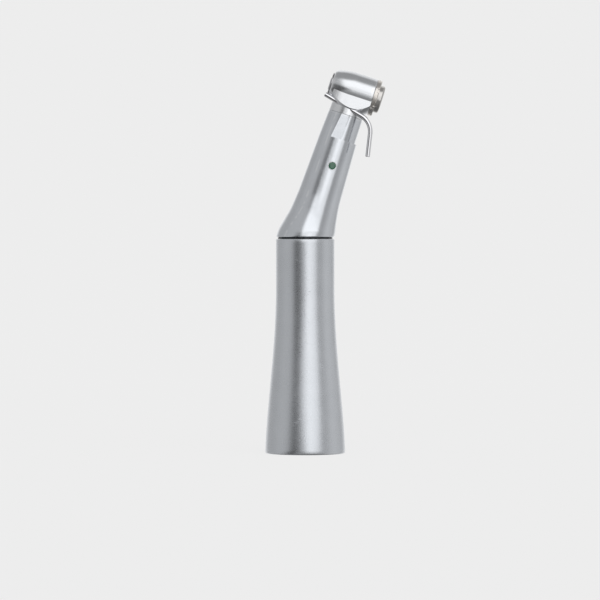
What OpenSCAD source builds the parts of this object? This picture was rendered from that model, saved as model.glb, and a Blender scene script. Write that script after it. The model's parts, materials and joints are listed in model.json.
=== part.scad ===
// Reduction contra-angle handpiece, 20 to 1, with a push-button chuck and an outside irrigation tube.
// Millimetres. Origin at the centre of the rear face, +Z along the handle towards the head.
// The neck leans towards +X and the bur leaves the head towards -X.

/* [Handle] */
// Length of the handle sleeve, rear face to seam
handle_len = 54.35; // [53.9:0.05:55.5]
// Diameter of the handle at its rear face
handle_rear_d = 20.2; // [19.8:0.1:21]
// Diameter of the handle at the seam
handle_seam_d = 14.8; // [14.6:0.1:15.4]
// Length over which the handle narrows from rear to seam size
flare_len = 42; // [38:1:46]
// Width of the dark seam between handle and neck
seam_gap = 0.35; // [0.25:0.05:0.5]

/* [Neck] */
// Angle between the handle axis and the neck axis
neck_angle = 18; // [16:0.5:20]
// Distance from the bend point to the head axis
neck_reach = 39.6; // [39.4:0.1:41]
// Neck radius where it leaves the bend
neck_root_r = 5.5; // [5.4:0.05:5.8]
// Neck radius at the lower edge of the relief
neck_step_r = 4.9; // [4.85:0.05:5.1]
// Neck radius just under the head
neck_top_r = 4.5; // [4.5:0.05:4.6]
// Radius left after the relief is cut
relief_r = 4.43; // [4.4:0.01:4.46]

/* [Head] */
// Diameter of the head barrel
head_d = 9.5; // [9.4:0.1:10.2]
// Distance from the neck axis to the front end of the bur spindle
nose_reach = 6.4; // [6.3:0.1:6.6]
// Distance from the neck axis to the outer face of the head cap
cap_reach = 6.25; // [6.2:0.05:6.3]
// How far the push button stands out of the cap
button_proud = 1.2; // [1.15:0.05:1.3]
// Diameter of the push button
button_d = 7.4; // [7.2:0.1:7.4]
// Diameter of the bur shank bore
chuck_bore_d = 2.36; // [2.35:0.01:2.38]

/* [Irrigation tube] */
// Outside diameter of the tube
tube_d = 1.2; // [1.1:0.05:1.25]
// Inside diameter of the tube
tube_bore_d = 0.8; // [0.6:0.05:0.9]
// Bend radius of the tube at its axis
tube_bend_r = 4.6; // [4:0.1:5]

/* [Gears] */
// Module of both planetary stages
planet_m = 0.3; // [0.3:0.01:0.3]
// Module of the bend gears and of the head gears
bevel_m = 0.4; // [0.4:0.01:0.4]
// How much each tooth is thinned at the pitch circle for backlash
tooth_thin = 0.045; // [0.04:0.005:0.06]

/* [Hidden] */
$fn = 96;
fit = 0.02;        // gap between pieces that are pressed or screwed together
run = 0.04;        // radial gap between pieces that turn on each other
eps = 0.01;

// Frames
seam_z = handle_len;
neck_base_z = seam_z + seam_gap;
bend_z = 54;
gear_pressure = 25;
bend_pressure = 20;

// Rear socket
socket_r = 8;              // register that the motor nose enters
socket_depth = 6;
nose_bore_r = 6.3;
nose_bore_top = 19.8;
snap_z = 12;

// Drive shaft and the two planetary stages, as stations along Z
sun_teeth = 12;
planet_teeth = 12;
ring_teeth = 36;
add_share = 0.8;
ded_share = 1.0;
orbit_r = planet_m * (sun_teeth + planet_teeth) / 2;
pin_r = 0.6;
case_r = 6.5;
case_z = [22, 38.6];
ring_z = [24.2, 36.4];
stage_1 = [25.0, 28.2];
stage_2 = [31.4, 35.2];
plate_1 = [28.5, 30.0];
plate_2 = [35.5, 37.3];
plate_r = 5.0;
planet_angles = [0, 120, 240];

// Bearings: [shaft radius, outer radius, ball radius, ball count]
small_bearing = [1.0, 3.0, 0.4, 7];
output_bearing = [1.25, 3.2, 0.42, 7];
spindle_bearing = [1.75, 3.4, 0.45, 9];
input_bearing_z = [[12.0, 14.2], [19.3, 21.5]];
output_bearing_z = [[39.0, 41.3], [46.5, 48.8]];
neck_bearing_z = [[7.5, 9.7], [neck_reach - 9.0, neck_reach - 6.8]];
spindle_bearing_z = [[-4.0, -2.8], [3.25, 5.0]];

// Bend gears: equal teeth on two cones that share the bend point as apex
bend_teeth = 20;
bend_cone = (180 - neck_angle) / 2;
bend_face = 1.3;

// Head gears: the pinion on the neck shaft turns the larger gear on the spindle
pinion_teeth = 12;
head_teeth = 15;
pinion_cone = atan(pinion_teeth / head_teeth);
head_face = 1.2;

// Head stations along the bur axis, positive towards the bur
head_r = head_d / 2;
spindle_r = spindle_bearing[0];
cap_start = -5.1;
cap_cavity_r = 4.1;
button_flange = [-5.65, -5.3];
button_top = -(cap_reach + button_proud);
button_inside = -6.95;
sleeve_z = [-6.3, -4.8];
lock_ball_z = -5.2;
lock_ball_r = 0.4;
lock_ball_reach = 1.43;
chuck_r = chuck_bore_d / 2;

// Base under the barrel: part of a ball, as stations along the neck and bur axes, with flat sides
head_base_centre = [1.1, -0.6];
head_base_r = 7.35;
head_base_flat = 4.52;

// Relief on the neck, as distances below the head axis
relief_top = 6.4;
relief_bottom = 12.75;

// ---- Frames ----

// Neck frame: origin at the bend point, +Z along the neck towards the head.
module in_neck() {
    translate([0, 0, bend_z]) rotate([0, neck_angle, 0]) children();
}

// Head frame: origin where the neck and bur axes cross, +Z along the bur axis out of the head,
// +X along the neck axis away from the handle.
module in_head() {
    in_neck() translate([0, 0, neck_reach]) rotate([0, -90, 0]) children();
}

// ---- Shared shapes ----

// A tube or ring from station z[0] to station z[1].
module ring(outer_r, inner_r, z) {
    translate([0, 0, z[0]]) difference() {
        cylinder(r = outer_r, h = z[1] - z[0]);
        translate([0, 0, -1]) cylinder(r = inner_r, h = z[1] - z[0] + 2);
    }
}

module rod(r, z) {
    translate([0, 0, z[0]]) cylinder(r = r, h = z[1] - z[0]);
}

function polar(r, a) = [r * cos(a), r * sin(a)];

// Involute of an angle, in degrees.
function inv(a) = tan(a) * 180 / PI - a;

// Half the angle that a tooth fills at radius r, on a gear of that many teeth.
function half_tooth(teeth, m, pressure, thin, r) =
    let (pitch_r = m * teeth / 2, base_r = pitch_r * cos(pressure), at = acos(base_r / max(r, base_r)))
    90 / teeth - thin / (2 * pitch_r) * 180 / PI + inv(pressure) - inv(at);

flank_steps = 4;

// Outline of a spur gear with a tooth centred on +X.
function gear_outline(teeth, m, add, ded, thin) =
    let (
        pitch_r = m * teeth / 2,
        radii = [for (k = [0:flank_steps]) pitch_r - ded + (add + ded) * k / flank_steps],
        half = [for (r = radii) half_tooth(teeth, m, gear_pressure, thin, r)]
    )
    [for (i = [0:teeth - 1]) each concat(
        [for (k = [0:flank_steps]) polar(radii[k], i * 360 / teeth - half[k])],
        [for (k = [flank_steps:-1:0]) polar(radii[k], i * 360 / teeth + half[k])]
    )];

module spur_gear(teeth, z) {
    translate([0, 0, z[0]]) linear_extrude(height = z[1] - z[0])
        polygon(gear_outline(teeth, planet_m, add_share * planet_m, ded_share * planet_m, tooth_thin));
}

// A point on a bevel tooth: h above the pitch cone, at an angle, scaled towards the apex.
function bevel_point(pitch_r, cone_angle, h, a, share) =
    let (r = (pitch_r + h * cos(cone_angle)) * share)
    [r * cos(a), r * sin(a), (pitch_r / tan(cone_angle) - h * sin(cone_angle)) * share];

// One ring of points round a bevel gear. The teeth are involute on the developed back cone.
function bevel_ring(teeth, m, cone_angle, pressure, share) =
    let (
        pitch_r = m * teeth / 2,
        back_r = pitch_r / cos(cone_angle),
        heights = [for (k = [0:flank_steps]) -ded_share * m + (add_share + ded_share) * m * k / flank_steps],
        half = [for (h = heights)
            half_tooth(teeth / cos(cone_angle), m, pressure, tooth_thin, back_r + h) / cos(cone_angle)]
    )
    [for (i = [0:teeth - 1]) each concat(
        [for (k = [0:flank_steps]) bevel_point(pitch_r, cone_angle, heights[k], i * 360 / teeth - half[k], share)],
        [for (k = [flank_steps:-1:0]) bevel_point(pitch_r, cone_angle, heights[k], i * 360 / teeth + half[k], share)]
    )];

// Toothed body of a bevel gear: its apex is the origin and the gear lies towards +Z.
module bevel_teeth(teeth, m, cone_angle, face, pressure) {
    pitch_r = m * teeth / 2;
    inner_share = 1 - face * sin(cone_angle) / pitch_r;
    back = pitch_r / tan(cone_angle) + ded_share * m * sin(cone_angle);
    count = teeth * 2 * (flank_steps + 1);
    points = concat(
        bevel_ring(teeth, m, cone_angle, pressure, 1),
        bevel_ring(teeth, m, cone_angle, pressure, inner_share),
        [[0, 0, back], [0, 0, back * inner_share]]
    );
    faces = [for (i = [0:count - 1]) let (j = (i + 1) % count) each [
        [i, j, count + j],
        [i, count + j, count + i],
        [2 * count, j, i],
        [2 * count + 1, count + i, count + j]
    ]];
    polyhedron(points = points, faces = faces, convexity = 6);
}

// A coil of wire round +Z from z[0] to z[1], with flat-ended wire.
module coil(mean_r, wire_r, turns, z) {
    sides = 8;
    steps = ceil(turns * 28);
    rise = z[1] - z[0] - 2 * wire_r;
    points = concat(
        [for (i = [0:steps]) for (j = [0:sides - 1])
            let (a = 360 * turns * i / steps, b = 360 * j / sides)
            [(mean_r + wire_r * cos(b)) * cos(a), (mean_r + wire_r * cos(b)) * sin(a),
             z[0] + wire_r + rise * i / steps + wire_r * sin(b)]],
        []
    );
    tube = [for (i = [0:steps - 1]) for (j = [0:sides - 1])
        let (k = (j + 1) % sides)
        [i * sides + j, (i + 1) * sides + j, (i + 1) * sides + k, i * sides + k]];
    ends = [[for (j = [0:sides - 1]) j], [for (j = [sides - 1:-1:0]) steps * sides + j]];
    polyhedron(points = points, faces = concat(tube, ends), convexity = 8);
}

// ---- Ball bearings, shared by every shaft ----

function pitch_of(bearing) = (bearing[0] + bearing[1]) / 2;
land = 0.28;             // from the ball circle to the shoulder of each race
groove_gap = 0.035;      // gap between ball and groove

module groove(bearing, z) {
    translate([0, 0, (z[0] + z[1]) / 2]) rotate_extrude()
        translate([pitch_of(bearing), 0]) circle(r = bearing[2] + groove_gap, $fn = 32);
}

module outer_races(bearing, stations) {
    for (z = stations) difference() {
        ring(bearing[1] - fit, pitch_of(bearing) + land, z);
        groove(bearing, z);
    }
}

module inner_races(bearing, stations) {
    for (z = stations) difference() {
        ring(pitch_of(bearing) - land, bearing[0] + fit, z);
        groove(bearing, z);
    }
}

// The balls and the crown cage that spaces them, for each bearing on one shaft.
module ball_sets(bearing, stations) {
    gap = 0.04;
    cage_z = [-bearing[2] - 0.16, 0.5 * bearing[2]];
    for (z = stations) translate([0, 0, (z[0] + z[1]) / 2]) {
        for (i = [0:bearing[3] - 1]) rotate([0, 0, i * 360 / bearing[3]])
            translate([pitch_of(bearing), 0, 0]) sphere(r = bearing[2]);
        difference() {
            ring(pitch_of(bearing) + land - 0.06, pitch_of(bearing) - land + 0.06, cage_z);
            for (i = [0:bearing[3] - 1]) rotate([0, 0, i * 360 / bearing[3]])
                translate([pitch_of(bearing), 0, -bearing[2] - gap]) cylinder(r = bearing[2] + gap, h = 2);
        }
    }
}

// ---- Handle ----

// Outer radius of the handle at height z: a smooth flare from the seam size to the rear size.
function handle_r(z) =
    let (t = pow(min(1, z / flare_len), 0.85), narrow = 3 * t * t - 2 * t * t * t)
    handle_rear_d / 2 - (handle_rear_d - handle_seam_d) / 2 * narrow;

module handle_sleeve() color([0.62, 0.62, 0.64]) {
    rim = 0.35;
    edge = 0.2;
    flare = [for (i = [0:28]) let (z = rim + (flare_len - rim) * i / 28) [handle_r(z), z]];
    rotate_extrude() polygon(concat(
        [[9.0, 0], [handle_rear_d / 2 - 0.3, 0]],
        flare,
        [[handle_seam_d / 2, seam_z - edge], [handle_seam_d / 2 - edge, seam_z], [6.35, seam_z],
         [6.35, 50], [6.55, 49.8], [6.55, 24.2], [7.3, 23.4], [7.3, 8.8], [9.0, 8.8]]
    ));
}

module seam_ring() color([0.08, 0.08, 0.1])
    ring(handle_seam_d / 2 - 0.52, 5.95, [seam_z + 0.01, neck_base_z - 0.01]);

// Turned body with the socket for the motor nose, and a centre tube that carries the drive shaft.
module coupling_body() color([0.7, 0.71, 0.73]) {
    flange_r = 8.97;
    barrel_r = 7.27;
    tube_r = 4.0;
    rotate_extrude() difference() {
        polygon([
            [socket_r, 0], [flange_r, 0], [flange_r, 8.7], [barrel_r, 8.7], [barrel_r, 20.6],
            [case_r, 20.6], [case_r, case_z[0] - fit], [5.65, case_z[0] - fit], [5.65, 24.1],
            [3.0, 24.1], [3.0, 19.2], [2.5, 19.2], [2.5, 14.3], [3.0, 14.3], [3.0, 11.95], [3.2, 11.95],
            [3.2, 9.7], [3.4, 9.5], [tube_r - 0.2, 9.5], [tube_r, 9.7], [tube_r, nose_bore_top],
            [nose_bore_r, nose_bore_top], [nose_bore_r, socket_depth + 0.4],
            [nose_bore_r + 0.4, socket_depth], [socket_r, socket_depth]
        ]);
        translate([nose_bore_r - 1, snap_z - 0.42]) square([1.6, 0.84]);
    }
}

// Open ring of spring wire that clicks into a groove on the motor nose.
module coupling_snap_ring() color([0.8, 0.8, 0.82])
    translate([0, 0, snap_z]) rotate([0, 0, 20]) rotate_extrude(angle = 320)
        translate([nose_bore_r + 0.17, 0]) circle(r = 0.35, $fn = 24);

// ---- Reduction gears ----

// Case with the fixed internal teeth of both stages.
module gear_case() color([0.66, 0.67, 0.7])
    difference() {
        rod(case_r, case_z);
        rod(5.67, [case_z[0] - 1, ring_z[0]]);
        rod(5.87, [ring_z[1], case_z[1] + 1]);
        translate([0, 0, ring_z[0] - eps]) linear_extrude(height = ring_z[1] - ring_z[0] + 2 * eps)
            rotate(180 / ring_teeth) polygon(gear_outline(ring_teeth, planet_m,
                ded_share * planet_m, add_share * planet_m, -tooth_thin));
    }

module rear_thrust_washer() color([0.75, 0.68, 0.5]) ring(5.1, 2.2, [24.15, 24.75]);

module middle_thrust_washer() color([0.75, 0.68, 0.5]) ring(5.1, 2.3, [30.3, 31.1]);

module input_bearing_nut() color([0.6, 0.6, 0.62]) difference() {
    ring(3.2 - fit, 2.45, [10.9, 11.92]);
    for (a = [0, 90]) rotate([0, 0, a]) translate([-4, -0.3, 10.6]) cube([8, 0.6, 0.7]);
}

module input_outer_races() color([0.8, 0.81, 0.83]) outer_races(small_bearing, input_bearing_z);
module input_inner_races() color([0.8, 0.81, 0.83]) inner_races(small_bearing, input_bearing_z);
module input_ball_sets() color([0.85, 0.86, 0.88]) ball_sets(small_bearing, input_bearing_z);

// Drive shaft with the first sun gear cut on its front end.
module input_shaft() color([0.72, 0.73, 0.75]) difference() {
    union() {
        rod(1.0, [8.95, 23]);
        rod(1.4, [14.25, 19.25]);
        rod(1.4, [21.55, 24.9]);
        spur_gear(sun_teeth, [24.8, 28.35]);
    }
    translate([0, 0, 10.2]) rotate([90, 0, 0]) cylinder(r = 0.35 + fit, h = 6, center = true, $fn = 32);
}

// Fork that the motor's own dog turns.
module drive_dog() color([0.55, 0.56, 0.58]) difference() {
    rod(2.2, [6.9, 11.6]);
    rod(1.0 + fit, [8.9, 12]);
    rod(1.25, [6, 8.9]);
    translate([-3, -0.55, 6]) cube([6, 1.1, 2.9]);
    translate([0, 0, 10.2]) rotate([90, 0, 0]) cylinder(r = 0.35 + fit, h = 6, center = true, $fn = 32);
}

module dog_pin() color([0.8, 0.8, 0.82])
    translate([0, 0, 10.2]) rotate([90, 0, 0]) cylinder(r = 0.35, h = 4.1, center = true, $fn = 32);

// A planet turned by half a tooth, so that it is in mesh with both the sun and the ring.
module planet(angle, z) rotate([0, 0, angle]) translate([orbit_r, 0, 0]) difference() {
    rotate([0, 0, 180 / planet_teeth]) spur_gear(planet_teeth, z);
    rod(pin_r + run, [z[0] - 1, z[1] + 1]);
}

module stage_1_planet_a() color([0.74, 0.72, 0.66]) planet(planet_angles[0], stage_1);
module stage_1_planet_b() color([0.74, 0.72, 0.66]) planet(planet_angles[1], stage_1);
module stage_1_planet_c() color([0.74, 0.72, 0.66]) planet(planet_angles[2], stage_1);
module stage_2_planet_a() color([0.74, 0.72, 0.66]) planet(planet_angles[0], stage_2);
module stage_2_planet_b() color([0.74, 0.72, 0.66]) planet(planet_angles[1], stage_2);
module stage_2_planet_c() color([0.74, 0.72, 0.66]) planet(planet_angles[2], stage_2);

module carrier_plate(z) difference() {
    rod(plate_r, z);
    for (a = planet_angles) rotate([0, 0, a]) translate([orbit_r, 0, 0]) rod(pin_r + fit, [z[0] - 1, z[1] + 1]);
    // three scallops between the pins lighten the plate
    for (a = planet_angles) rotate([0, 0, a + 60]) translate([plate_r + 0.7, 0, 0]) rod(1.7, [z[0] - 1, z[1] + 1]);
}

module carrier_pins(z) for (a = planet_angles) rotate([0, 0, a]) translate([orbit_r, 0, 0]) rod(pin_r, z);

// First carrier with the second sun gear on its front.
module stage_1_carrier() color([0.68, 0.69, 0.72]) union() {
    carrier_plate(plate_1);
    rod(1.45, [plate_1[1] - eps, 30.7]);
    spur_gear(sun_teeth, [30.6, 35.2]);
}
module stage_1_pins() color([0.8, 0.8, 0.82]) carrier_pins([24.9, plate_1[1]]);

// Second carrier with the output shaft on its front.
module stage_2_carrier() color([0.68, 0.69, 0.72]) union() {
    carrier_plate(plate_2);
    rod(1.9, [plate_2[1] - eps, 38.9]);
    rod(output_bearing[0], [38.8, 51.6]);
}
module stage_2_pins() color([0.8, 0.8, 0.82]) carrier_pins([31.25, plate_2[1]]);

// Front frame: it holds the output bearings and screws the handle to the neck.
module output_housing() color([0.66, 0.67, 0.7]) rotate_extrude() polygon([
    [output_bearing[1], 37.7], [5.85, 37.7], [5.85, case_z[1] + fit], [6.3, case_z[1] + fit], [6.3, seam_z],
    [5.9, seam_z], [5.9, 57.1], [5.7, 57.3], [5.2, 57.3], [5.2, 50.4], [3.6, 49.4],
    [output_bearing[1], 49.4], [output_bearing[1], 46.4], [2.7, 46.4], [2.7, 41.4], [output_bearing[1], 41.4]
]);

module output_outer_races() color([0.8, 0.81, 0.83]) outer_races(output_bearing, output_bearing_z);
module output_inner_races() color([0.8, 0.81, 0.83]) inner_races(output_bearing, output_bearing_z);
module output_ball_sets() color([0.85, 0.86, 0.88]) ball_sets(output_bearing, output_bearing_z);
module output_spacer() color([0.7, 0.7, 0.72]) ring(1.75, output_bearing[0] + fit, [41.35, 46.45]);

// ---- Bend gears ----

module bend_gear(shaft_r, hub_end) difference() {
    union() {
        bevel_teeth(bend_teeth, bevel_m, bend_cone, bend_face, bend_pressure);
        rod(3.4, [0.9, 1.7]);
        rod(2.2, [1.6, hub_end]);
    }
    rod(shaft_r + fit, [-1, hub_end + 1]);
}

module bend_gear_lower() color([0.72, 0.72, 0.74])
    translate([0, 0, bend_z]) rotate([180, 0, 0]) bend_gear(output_bearing[0], 5.1);

module bend_gear_upper() color([0.72, 0.72, 0.74])
    in_neck() rotate([0, 0, 180 / bend_teeth]) bend_gear(small_bearing[0], 4.2);

// ---- Neck ----

module disc(r, tilt, x, z) translate([x, 0, z]) rotate([0, tilt, 0]) cylinder(r = r, h = 0.02, $fn = 64);

// Outer form of the neck: a bend that grows out of the seam circle, then a slim cone to the head.
module neck_form() {
    seam_r = handle_seam_d / 2 - 0.03;
    cone_start = 12;
    cone_x = cone_start * sin(neck_angle);
    cone_z = bend_z + cone_start * cos(neck_angle);
    hull() {
        disc(seam_r - 0.15, 0, 0, neck_base_z);
        disc(seam_r, 1, 0.05, neck_base_z + 0.2);
        disc(7, neck_angle * 0.353, 0.71, 57.03);
    }
    hull() {
        disc(7, neck_angle * 0.353, 0.71, 57.03);
        disc(6.17, neck_angle * 0.817, 1.975, 60.05);
    }
    hull() {
        disc(6.17, neck_angle * 0.817, 1.975, 60.05);
        disc(neck_root_r, neck_angle, cone_x, cone_z);
    }
    in_neck() rotate_extrude() polygon([
        [0, cone_start], [neck_root_r, cone_start], [neck_step_r, neck_reach - relief_bottom],
        [neck_top_r, neck_reach - relief_top], [0, neck_reach - relief_top]
    ]);
}

// Everything that the relief removes: outside relief_r, on the side away from the bur.
module relief_cut() in_neck() difference() {
    translate([0, 0, neck_reach - relief_bottom]) rotate([0, 7.9, 0])
        translate([-1.95, -10, -3]) cube([20, 20, 12]);
    rod(relief_r, [0, neck_reach]);
    rod(20, [0, neck_reach - relief_bottom]);
}

module dot_pocket(depth, r) in_neck() rotate([0, 0, 7.8]) translate([0, 0, neck_reach - 19.7])
    rotate([90, 0, 0]) translate([0, 0, 5.2 - depth]) cylinder(r = r, h = 2, $fn = 48);

module neck_shell() color([0.64, 0.64, 0.66]) difference() {
    neck_form();
    relief_cut();
    rod(5.92, [50, 57.5]);
    in_neck() {
        rod(4.7, [-1, 6.3]);
        rod(3.7, [6.2, 7.45]);
        rod(small_bearing[1], [7.3, 9.75]);
        rod(2.7, [9.7, 30]);
        rod(3.77, [neck_reach - 10.3, neck_reach]);
    }
    dot_pocket(0.45, 1.07);
}

module ratio_dot() color([0.05, 0.38, 0.2]) intersection() {
    dot_pocket(0.42, 1.05);
    in_neck() difference() {
        rod(5.12, [10, 30]);
        rod(4.0, [9, 31]);
    }
}

module neck_bearing_nut() color([0.6, 0.6, 0.62]) in_neck() difference() {
    ring(3.68, 2.3, [6.32, 7.4]);
    for (a = [0, 90]) rotate([0, 0, a]) translate([-5, -0.3, 6]) cube([10, 0.6, 0.7]);
}

module neck_outer_races() color([0.8, 0.81, 0.83]) in_neck() outer_races(small_bearing, neck_bearing_z);
module neck_inner_races() color([0.8, 0.81, 0.83]) in_neck() inner_races(small_bearing, neck_bearing_z);
module neck_ball_sets() color([0.85, 0.86, 0.88]) in_neck() ball_sets(small_bearing, neck_bearing_z);

module neck_shaft() color([0.72, 0.73, 0.75]) in_neck() union() {
    rod(small_bearing[0], [1.2, neck_reach - 2.6]);
    rod(1.35, [4.25, neck_bearing_z[0][0] - 0.04]);
    rod(1.35, [neck_bearing_z[0][1] + 0.04, neck_bearing_z[1][0] - 0.04]);
    rod(1.35, [neck_bearing_z[1][1] + 0.04, neck_reach - 4.45]);
}

module head_pinion() color([0.74, 0.72, 0.66]) in_neck() translate([0, 0, neck_reach]) rotate([180, 0, 0])
    difference() {
        union() {
            bevel_teeth(pinion_teeth, bevel_m, pinion_cone, head_face, gear_pressure);
            rod(1.7, [3.1, 4.4]);
        }
        rod(small_bearing[0] + fit, [2.5, 5]);
    }

// ---- Irrigation tube ----

// The tube lies in a plane beside the neck. Its path is given from the head centre, as x and z in that plane,
// which is then swung about the leg so that the nozzle points in towards the bur.
tube_y = -4.95;
tube_swing = 11.4;
tube_tip = [-7.43, -0.84];
tube_corner = [4.46, -7.92];
tube_end = [3.47, -16.7];

function length_of(v) = sqrt(v[0] * v[0] + v[1] * v[1]);
function heading(v) = atan2(v[1], v[0]);
tube_first = tube_corner - tube_tip;
tube_last = tube_end - tube_corner;
tube_turn = heading(tube_first) - heading(tube_last);
tube_tangent = tube_bend_r * tan(tube_turn / 2);

module in_tube_plane() translate([neck_reach * sin(neck_angle), tube_y, bend_z + neck_reach * cos(neck_angle)])
    translate([tube_corner[0], 0, tube_corner[1]]) rotate(tube_swing, [tube_last[0], 0, tube_last[1]])
    translate([-tube_corner[0], 0, -tube_corner[1]]) children();

// Straight part with the nozzle.
module tube_nozzle(r) in_tube_plane() translate([tube_tip[0], 0, tube_tip[1]])
    rotate([0, 90 - heading(tube_first), 0]) cylinder(r = r, h = length_of(tube_first) - tube_tangent);

// The bend, as part of a torus that reaches a little way into the straight parts.
module tube_bend(r) in_tube_plane() translate([tube_corner[0], 0, tube_corner[1]])
    rotate([0, -heading(tube_first), 0]) translate([-tube_tangent, 0, -tube_bend_r]) rotate([90, 0, 0])
        rotate([0, 0, 89 - tube_turn]) rotate_extrude(angle = tube_turn + 2)
            translate([tube_bend_r, 0]) circle(r = r);

// Straight leg that the hose slides on.
module tube_leg(r) in_tube_plane() translate([tube_corner[0], 0, tube_corner[1]])
    rotate([0, 90 - heading(tube_last), 0]) translate([0, 0, tube_tangent])
        cylinder(r = r, h = length_of(tube_last) - tube_tangent);

module irrigation_tube() color([0.85, 0.85, 0.87]) union() {
    difference() {
        tube_nozzle(tube_d / 2);
        tube_nozzle(tube_bore_d / 2);
    }
    difference() {
        tube_bend(tube_d / 2 - 0.005);
        tube_bend(tube_bore_d / 2 + 0.005);
    }
    difference() {
        tube_leg(tube_d / 2);
        tube_leg(tube_bore_d / 2);
    }
}

// ---- Head ----

module head_housing() color([0.78, 0.78, 0.8]) difference() {
    union() {
        in_head() rotate_extrude() polygon(concat(
            [[0, cap_start]],
            [[head_r - 0.12, cap_start], [head_r, cap_start + 0.12], [head_r, 0.6]],
            // the barrel rounds in towards the bur
            [for (i = [1:8]) let (w = 0.6 + 4.8 * i / 8) [head_r - 0.9 * pow(i / 8, 1.9), w]],
            [[3.85, 5.68], [3.1, 5.92], [0, 5.92]]
        ));
        // base under the barrel: part of a ball with flat sides
        in_head() intersection() {
            translate([head_base_centre[0], 0, head_base_centre[1]]) rotate([0, 90, 0]) sphere(r = head_base_r);
            // the two flats spread slightly towards the neck
            translate([0, 0, cap_start]) linear_extrude(10) polygon([
                [-0.9, head_base_flat], [-0.9, -head_base_flat],
                [-6.3, -head_base_flat - 0.46], [-6.3, head_base_flat + 0.46]
            ]);
        }
        in_neck() rod(neck_top_r, [neck_reach - relief_top + fit, neck_reach - 3]);
        in_neck() rod(3.75, [neck_reach - 10.2, neck_reach - 5]);
    }
    in_head() {
        rod(4.1, [-6, 2.9]);
        rod(4.42, [-6, -3.98]);
        rod(spindle_bearing[1], [2.8, 5.03]);
        rod(3.0, [5, 7]);
    }
    in_neck() {
        rod(2.8, [neck_reach - 6.9, neck_reach]);
        rod(small_bearing[1], [neck_reach - 11, neck_reach - 6.75]);
    }
    tube_nozzle(tube_d / 2 + fit);
}

module front_ring() color([0.5, 0.5, 0.52]) in_head() difference() {
    rotate_extrude() polygon([[1.95, 5.06], [2.98, 5.06], [2.98, 6.05], [2.83, 6.2], [2.1, 6.2], [1.95, 6.05]]);
    for (a = [0, 90]) rotate([0, 0, a + 45]) translate([-4, -0.25, 5.9]) cube([8, 0.5, 1]);
}

// Screwed cap: it holds the rear spindle bearing and keeps the button in.
module head_cap() color([0.74, 0.72, 0.7]) in_head() difference() {
    rotate_extrude() difference() {
        polygon([
            [spindle_bearing[1], -2.85], [4.08, -2.85], [4.08, -4.0], [4.4, -4.0], [4.4, cap_start - fit],
            [head_r - 0.17, cap_start - fit], [head_r - 0.05, cap_start - 0.14], [head_r - 0.05, -cap_reach + 0.2],
            [head_r - 0.25, -cap_reach], [button_d / 2 + 0.05, -cap_reach], [button_d / 2 + 0.05, -5.75],
            [cap_cavity_r, -5.75], [cap_cavity_r, -4.05], [spindle_bearing[1], -4.05]
        ]);
        translate([button_d / 2, -6.16]) square([0.46, 0.32]);
    }
    // spanner notches round the rim
    for (i = [0:7]) rotate([0, 0, i * 45 + 22.5]) translate([head_r - 0.3, -0.45, -cap_reach - 1])
        cube([2, 0.9, 1.55]);
}

module button_seal() color([0.1, 0.1, 0.1]) in_head() translate([0, 0, -6])
    rotate_extrude() translate([button_d / 2 + 0.25, 0]) circle(r = 0.15, $fn = 24);

module push_button() color([0.76, 0.76, 0.78]) in_head() rotate_extrude() polygon([
    [0, button_top], [button_d / 2 - 0.6, button_top + 0.04], [button_d / 2 - 0.25, button_top + 0.12],
    [button_d / 2 - 0.07, button_top + 0.3], [button_d / 2, button_top + 0.55],
    [button_d / 2, button_flange[0]], [4.05, button_flange[0]], [4.05, button_flange[1]],
    [3.35, button_flange[1]], [3.35, button_inside], [2.9, button_inside], [2.9, -6.4], [2.0, -6.4],
    [2.0, button_inside], [0, button_inside]
]);

module button_spring() color([0.82, 0.82, 0.84])
    in_head() coil(3.7, 0.11, 2, [button_flange[1] + 0.02, -4.07]);

module spindle_outer_races() color([0.8, 0.81, 0.83]) in_head() outer_races(spindle_bearing, spindle_bearing_z);
module spindle_inner_races() color([0.8, 0.81, 0.83]) in_head() inner_races(spindle_bearing, spindle_bearing_z);
module spindle_ball_sets() color([0.85, 0.86, 0.88]) in_head() ball_sets(spindle_bearing, spindle_bearing_z);

// Hollow spindle: round bore for the shank, then a D-shaped seat that turns it, with two lock ball holes.
module chuck_spindle() color([0.72, 0.73, 0.75]) in_head() difference() {
    rotate_extrude() polygon([
        [0, -6.25], [spindle_r - 0.1, -6.25], [spindle_r, -6.15], [spindle_r, 5.05],
        [spindle_r - 0.05, 5.1], [spindle_r - 0.05, nose_reach - 0.2], [spindle_r - 0.25, nose_reach], [0, nose_reach]
    ]);
    rod(chuck_r, [-4.2, nose_reach + 1]);
    rod(chuck_r + 0.2, [-4.8, -4.2]);
    translate([0, 0, nose_reach - 0.2]) cylinder(r1 = chuck_r, r2 = chuck_r + 0.25, h = 0.25);
    translate([0, 0, -5.8]) linear_extrude(height = 1.4) intersection() {
        circle(r = chuck_r);
        translate([-0.75, -2]) square([3, 4]);
    }
    for (s = [-1, 1]) translate([0, 0, lock_ball_z]) rotate([s * 90, 0, 0])
        cylinder(r = lock_ball_r + 0.03, h = 3, $fn = 32);
}

module head_gear() color([0.74, 0.72, 0.66]) in_head() difference() {
    union() {
        bevel_teeth(head_teeth, bevel_m, 90 - pinion_cone, head_face, gear_pressure);
        rod(2.4, [2.6, spindle_bearing_z[1][0] - 0.05]);
    }
    rod(spindle_r + fit, [0, 4]);
}

module sleeve_spring_seat() color([0.7, 0.7, 0.72]) in_head() ring(2.84, spindle_r + fit, [-4.22, -4.04]);

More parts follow.
